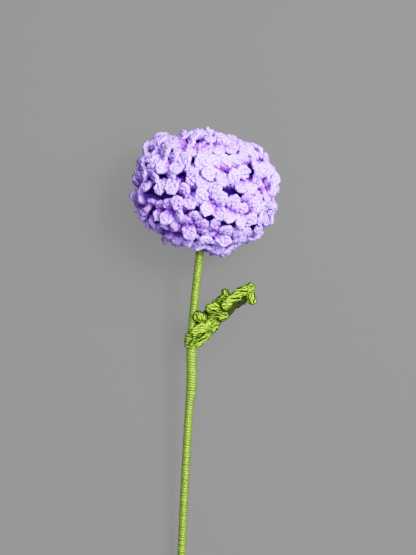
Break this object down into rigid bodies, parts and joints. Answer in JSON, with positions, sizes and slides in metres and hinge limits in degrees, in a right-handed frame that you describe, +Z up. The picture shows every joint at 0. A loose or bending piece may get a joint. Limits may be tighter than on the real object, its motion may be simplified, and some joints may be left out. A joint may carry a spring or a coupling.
{
  "type": "crocheted dahlia flower",
  "caption": "Crocheted yarn flower: a dense round head of lavender chain loops on a stiff green yarn-wrapped wire stem with one small crocheted leaf, lying down.",
  "frame": {"origin": "on the surface the flower lies on, under the middle of its overall box", "axes": "+Z up from the surface, +Y along the flower from the cut end of the stem towards the head, +X to the right of the head seen from above"},
  "size_m": [0.0911, 0.3497, 0.0877],
  "materials": {
    "lavender_cotton": "matte cotton yarn, crocheted",
    "green_cotton": "matte cotton yarn, closely wound",
    "leaf_cotton": "matte cotton yarn, crocheted",
    "steel_wire": "drawn wire"
  },
  "bodies": {
    "root": {"bloom": "lavender_cotton", "stem_wire": "steel_wire", "stem_wrap": "green_cotton", "leaf": "leaf_cotton", "leaf_wire": "steel_wire"}
  },
  "joints": []
}
